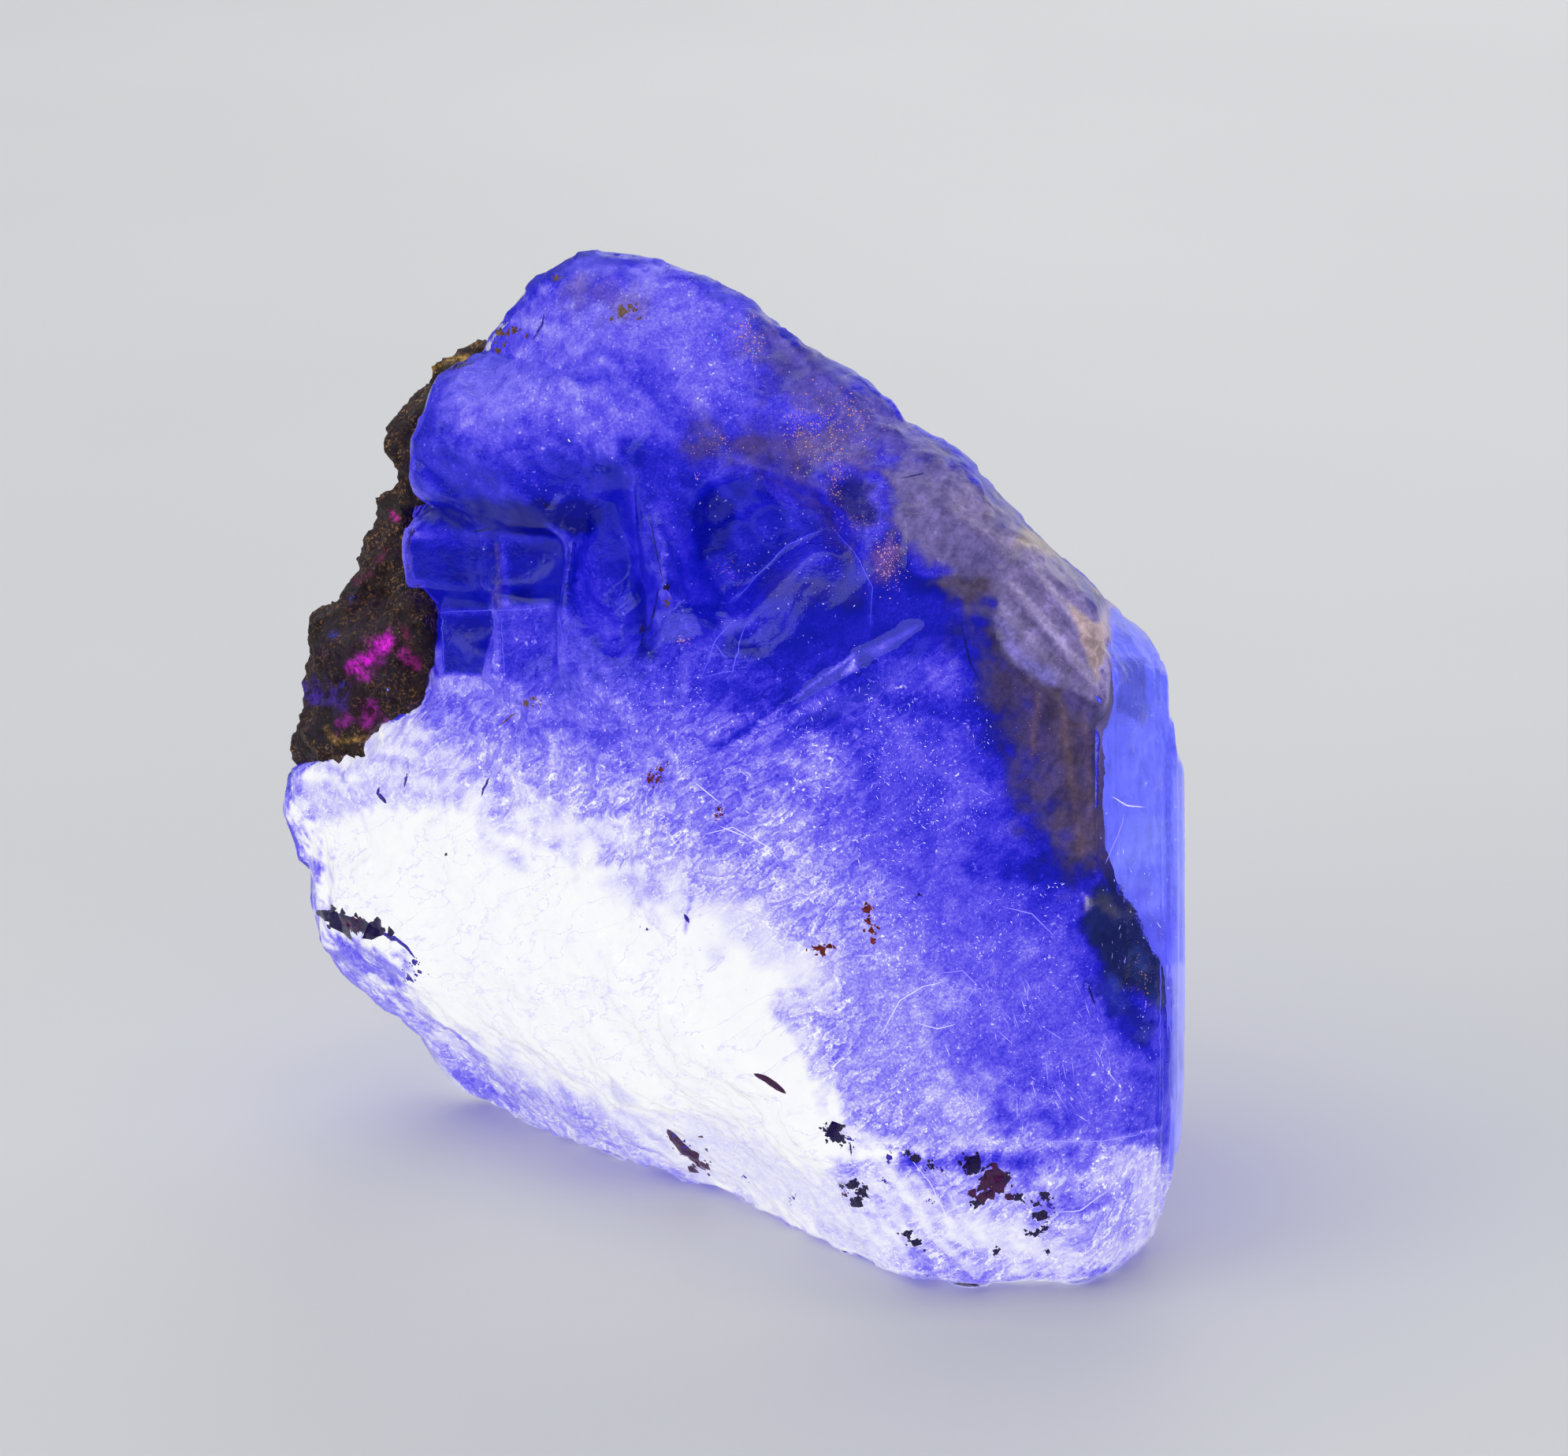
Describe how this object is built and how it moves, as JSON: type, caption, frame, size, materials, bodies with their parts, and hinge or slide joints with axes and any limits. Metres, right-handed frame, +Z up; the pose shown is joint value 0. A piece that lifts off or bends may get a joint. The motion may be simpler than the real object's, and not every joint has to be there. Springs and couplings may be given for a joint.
{
  "type": "fluorite mineral specimen",
  "caption": "Large cleaved fluorite crystal with small cubes and stepped ledges grown onto it, and a crust of brown host rock on one side.",
  "frame": {"origin": "on the resting plane, under the middle of the bounding box", "axes": "+Z up, +X to the flat cube face, -Y the side that the broad front face looks to"},
  "size_m": [0.0514, 0.0392, 0.0538],
  "materials": {
    "fluorite": "clear to milky fluorite, cleaved and frosted, glowing blue under ultraviolet light",
    "matrix_rock": null
  },
  "bodies": {
    "root": {"fluorite": "fluorite", "matrix_rock": "matrix_rock"}
  },
  "joints": []
}
